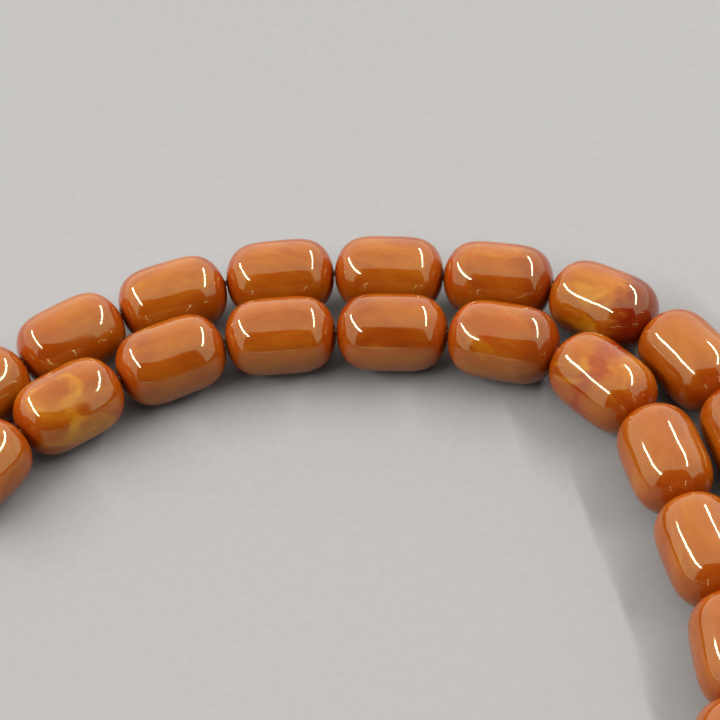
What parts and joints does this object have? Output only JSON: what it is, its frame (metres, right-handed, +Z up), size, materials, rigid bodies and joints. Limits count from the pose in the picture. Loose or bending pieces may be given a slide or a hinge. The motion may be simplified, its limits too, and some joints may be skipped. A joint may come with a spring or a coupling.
{
  "type": "misbaha prayer beads",
  "caption": "String of marbled amber-orange resin capsule beads with flat dividers, a turned leader bead, a finial and a silk tassel, laid in a doubled arch.",
  "frame": {"origin": "centre of the footprint of the whole string, on the surface that the beads lie on", "axes": "+Z up out of that surface; +Y towards the back of the doubled arch; +X towards the side with the open loop"},
  "size_m": [0.1458, 0.1716, 0.011],
  "materials": {
    "amber_resin": "polished marbled amber-like resin",
    "cord": "waxed twisted cord",
    "tassel_silk": "silky thread"
  },
  "bodies": {
    "string": {"cord_outer": "cord", "cord_inner": "cord"},
    "loop_near": {"cord_loop_outer": "cord", "cord_loop_inner": "cord"},
    "loop_end": {"cord_loop_end": "cord"},
    "tail": {"cord_tail_a": "cord", "cord_tail_b": "cord", "end_knot": "cord"},
    "tassel_stem": {"tassel_cord": "tassel_silk"},
    "tassel": {"tassel_head": "tassel_silk", "tassel_binding": "tassel_silk", "tassel_skirt": "tassel_silk"},
    "bead_13": {"bead_13": "amber_resin"},
    "bead_14": {"bead_14": "amber_resin"},
    "imam_bead": {"imam_bead": "amber_resin"},
    "finial_bead": {"finial_bead": "amber_resin"},
    "divider_a": {"divider_a": "amber_resin"},
    "divider_b": {"divider_b": "amber_resin"},
    "bead_01": {"bead_01": "amber_resin"},
    "bead_02": {"bead_02": "amber_resin"},
    "bead_03": {"bead_03": "amber_resin"},
    "bead_04": {"bead_04": "amber_resin"},
    "bead_05": {"bead_05": "amber_resin"},
    "bead_06": {"bead_06": "amber_resin"},
    "bead_07": {"bead_07": "amber_resin"},
    "bead_08": {"bead_08": "amber_resin"},
    "bead_09": {"bead_09": "amber_resin"},
    "bead_10": {"bead_10": "amber_resin"},
    "bead_11": {"bead_11": "amber_resin"},
    "bead_12": {"bead_12": "amber_resin"},
    "bead_15": {"bead_15": "amber_resin"},
    "bead_16": {"bead_16": "amber_resin"},
    "bead_17": {"bead_17": "amber_resin"},
    "bead_18": {"bead_18": "amber_resin"},
    "bead_19": {"bead_19": "amber_resin"},
    "bead_20": {"bead_20": "amber_resin"},
    "bead_21": {"bead_21": "amber_resin"},
    "bead_22": {"bead_22": "amber_resin"},
    "bead_23": {"bead_23": "amber_resin"},
    "bead_24": {"bead_24": "amber_resin"},
    "bead_25": {"bead_25": "amber_resin"},
    "bead_26": {"bead_26": "amber_resin"},
    "bead_27": {"bead_27": "amber_resin"},
    "bead_28": {"bead_28": "amber_resin"},
    "bead_29": {"bead_29": "amber_resin"},
    "bead_30": {"bead_30": "amber_resin"},
    "bead_31": {"bead_31": "amber_resin"},
    "bead_32": {"bead_32": "amber_resin"},
    "bead_33": {"bead_33": "amber_resin"}
  },
  "joints": [
    {"name": "loop_lift", "type": "hinge", "parent": "string", "child": "loop_near", "pos_m": [0.05664, 0.00642, 0.005], "axis": [-0.8475, -0.5308, 0], "range_deg": [0, 30]},
    {"name": "loop_end_lift", "type": "hinge", "parent": "loop_near", "child": "loop_end", "pos_m": [0.04122, -0.04375, 0.005], "axis": [-0.9772, 0.2123, 0], "range_deg": [0, 30]},
    {"name": "tail_swing", "type": "hinge", "parent": "string", "child": "tail", "pos_m": [-0.05208, 0.03796, 0.00599], "axis": [0, 0, 1], "range_deg": [-20, 20]},
    {"name": "tassel_swing", "type": "hinge", "parent": "tail", "child": "tassel_stem", "pos_m": [-0.065, -0.0071, 0.0026], "axis": [0, 0, 1], "range_deg": [-25, 25]},
    {"name": "tassel_lift", "type": "hinge", "parent": "tassel_stem", "child": "tassel", "pos_m": [-0.06538, -0.01138, 0.0038], "axis": [-0.9962, 0.0872, 0], "range_deg": [0, 60]},
    {"name": "bead_13_slide", "type": "slide", "parent": "loop_near", "child": "bead_13", "axis": [-0.0422, -0.9991, 0], "range_m": [0, 0.0173]},
    {"name": "bead_14_slide", "type": "slide", "parent": "loop_near", "child": "bead_14", "axis": [-0.0422, -0.9991, 0], "range_m": [-0.0173, 0]},
    {"name": "imam_spin", "type": "hinge", "parent": "tail", "child": "imam_bead", "pos_m": [-0.05208, 0.03796, 0.00599], "axis": [-0.2749, -0.9588, -0.0722], "continuous": true},
    {"name": "finial_spin", "type": "hinge", "parent": "tail", "child": "finial_bead", "pos_m": [-0.0633, -0.00116, 0.00304], "axis": [-0.2749, -0.9588, -0.0722], "continuous": true},
    {"name": "divider_a_spin", "type": "hinge", "parent": "string", "child": "divider_a", "pos_m": [0.06463, 0.01572, 0.005], "axis": [0.2192, -0.9757, 0], "continuous": true},
    {"name": "divider_b_spin", "type": "hinge", "parent": "loop_near", "child": "divider_b", "pos_m": [0.04569, -0.00234, 0.005], "axis": [0.547, 0.8371, 0], "continuous": true},
    {"name": "bead_01_spin", "type": "hinge", "parent": "string", "child": "bead_01", "pos_m": [-0.04236, 0.05915, 0.005], "axis": [0.674, 0.7388, 0], "continuous": true},
    {"name": "bead_02_spin", "type": "hinge", "parent": "string", "child": "bead_02", "pos_m": [-0.03183, 0.06882, 0.005], "axis": [0.7935, 0.6085, 0], "continuous": true},
    {"name": "bead_03_spin", "type": "hinge", "parent": "string", "child": "bead_03", "pos_m": [-0.01956, 0.07614, 0.005], "axis": [0.9125, 0.4091, 0], "continuous": true},
    {"name": "bead_04_spin", "type": "hinge", "parent": "string", "child": "bead_04", "pos_m": [-0.00583, 0.08005, 0.005], "axis": [0.9911, 0.1334, 0], "continuous": true},
    {"name": "bead_05_spin", "type": "hinge", "parent": "string", "child": "bead_05", "pos_m": [0.00844, 0.08081, 0.005], "axis": [0.9996, -0.0272, 0], "continuous": true},
    {"name": "bead_06_spin", "type": "hinge", "parent": "string", "child": "bead_06", "pos_m": [0.02269, 0.07966, 0.005], "axis": [0.991, -0.1341, 0], "continuous": true},
    {"name": "bead_07_spin", "type": "hinge", "parent": "string", "child": "bead_07", "pos_m": [0.03626, 0.07523, 0.005], "axis": [0.8793, -0.4763, 0], "continuous": true},
    {"name": "bead_08_spin", "type": "hinge", "parent": "string", "child": "bead_08", "pos_m": [0.04698, 0.06585, 0.005], "axis": [0.5889, -0.8082, 0], "continuous": true},
    {"name": "bead_09_spin", "type": "hinge", "parent": "string", "child": "bead_09", "pos_m": [0.05365, 0.05322, 0.005], "axis": [0.3355, -0.942, 0], "continuous": true},
    {"name": "bead_10_spin", "type": "hinge", "parent": "string", "child": "bead_10", "pos_m": [0.05817, 0.03966, 0.005], "axis": [0.2969, -0.9549, 0], "continuous": true},
    {"name": "bead_11_spin", "type": "hinge", "parent": "string", "child": "bead_11", "pos_m": [0.0621, 0.0259, 0.005], "axis": [0.2519, -0.9678, 0], "continuous": true},
    {"name": "bead_12_spin", "type": "hinge", "parent": "loop_near", "child": "bead_12", "pos_m": [0.06679, 0.00442, 0.005], "axis": [0.1722, -0.9851, 0], "continuous": true},
    {"name": "bead_15_spin", "type": "hinge", "parent": "loop_end", "child": "bead_15", "pos_m": [0.06142, -0.05522, 0.005], "axis": [-0.6075, -0.7943, 0], "continuous": true},
    {"name": "bead_16_spin", "type": "hinge", "parent": "loop_end", "child": "bead_16", "pos_m": [0.05011, -0.06386, 0.005], "axis": [-0.9259, -0.3777, 0], "continuous": true},
    {"name": "bead_17_spin", "type": "hinge", "parent": "loop_end", "child": "bead_17", "pos_m": [0.03598, -0.06542, 0.005], "axis": [-0.986, 0.1668, 0], "continuous": true},
    {"name": "bead_18_spin", "type": "hinge", "parent": "loop_end", "child": "bead_18", "pos_m": [0.02344, -0.05876, 0.005], "axis": [-0.6902, 0.7237, 0], "continuous": true},
    {"name": "bead_19_spin", "type": "hinge", "parent": "loop_end", "child": "bead_19", "pos_m": [0.01734, -0.04594, 0.005], "axis": [-0.1259, 0.992, 0], "continuous": true},
    {"name": "bead_20_spin", "type": "hinge", "parent": "loop_near", "child": "bead_20", "pos_m": [0.01983, -0.03152, 0.005], "axis": [0.4521, 0.892, 0], "continuous": true},
    {"name": "bead_21_spin", "type": "hinge", "parent": "loop_near", "child": "bead_21", "pos_m": [0.02843, -0.02014, 0.005], "axis": [0.7339, 0.6792, 0], "continuous": true},
    {"name": "bead_22_spin", "type": "hinge", "parent": "loop_near", "child": "bead_22", "pos_m": [0.03875, -0.01024, 0.005], "axis": [0.709, 0.7052, 0], "continuous": true},
    {"name": "bead_23_spin", "type": "hinge", "parent": "string", "child": "bead_23", "pos_m": [0.05018, 0.00816, 0.005], "axis": [0.3113, 0.9503, 0], "continuous": true},
    {"name": "bead_24_spin", "type": "hinge", "parent": "string", "child": "bead_24", "pos_m": [0.05133, 0.02235, 0.005], "axis": [-0.1536, 0.9881, 0], "continuous": true},
    {"name": "bead_25_spin", "type": "hinge", "parent": "string", "child": "bead_25", "pos_m": [0.04806, 0.03627, 0.005], "axis": [-0.3027, 0.9531, 0], "continuous": true},
    {"name": "bead_26_spin", "type": "hinge", "parent": "string", "child": "bead_26", "pos_m": [0.04371, 0.04989, 0.005], "axis": [-0.3067, 0.9518, 0], "continuous": true},
    {"name": "bead_27_spin", "type": "hinge", "parent": "string", "child": "bead_27", "pos_m": [0.03629, 0.06205, 0.005], "axis": [-0.7056, 0.7086, 0], "continuous": true},
    {"name": "bead_28_spin", "type": "hinge", "parent": "string", "child": "bead_28", "pos_m": [0.02379, 0.06881, 0.005], "axis": [-0.9793, 0.2023, 0], "continuous": true},
    {"name": "bead_29_spin", "type": "hinge", "parent": "string", "child": "bead_29", "pos_m": [0.00958, 0.07035, 0.005], "axis": [-0.9999, 0.012, 0], "continuous": true},
    {"name": "bead_30_spin", "type": "hinge", "parent": "string", "child": "bead_30", "pos_m": [-0.0047, 0.06967, 0.005], "axis": [-0.9942, -0.1072, 0], "continuous": true},
    {"name": "bead_31_spin", "type": "hinge", "parent": "string", "child": "bead_31", "pos_m": [-0.0183, 0.06538, 0.005], "axis": [-0.8763, -0.4818, 0], "continuous": true},
    {"name": "bead_32_spin", "type": "hinge", "parent": "string", "child": "bead_32", "pos_m": [-0.03016, 0.0574, 0.005], "axis": [-0.7754, -0.6315, 0], "continuous": true},
    {"name": "bead_33_spin", "type": "hinge", "parent": "string", "child": "bead_33", "pos_m": [-0.0397, 0.04678, 0.005], "axis": [-0.5455, -0.8381, 0], "continuous": true}
  ]
}
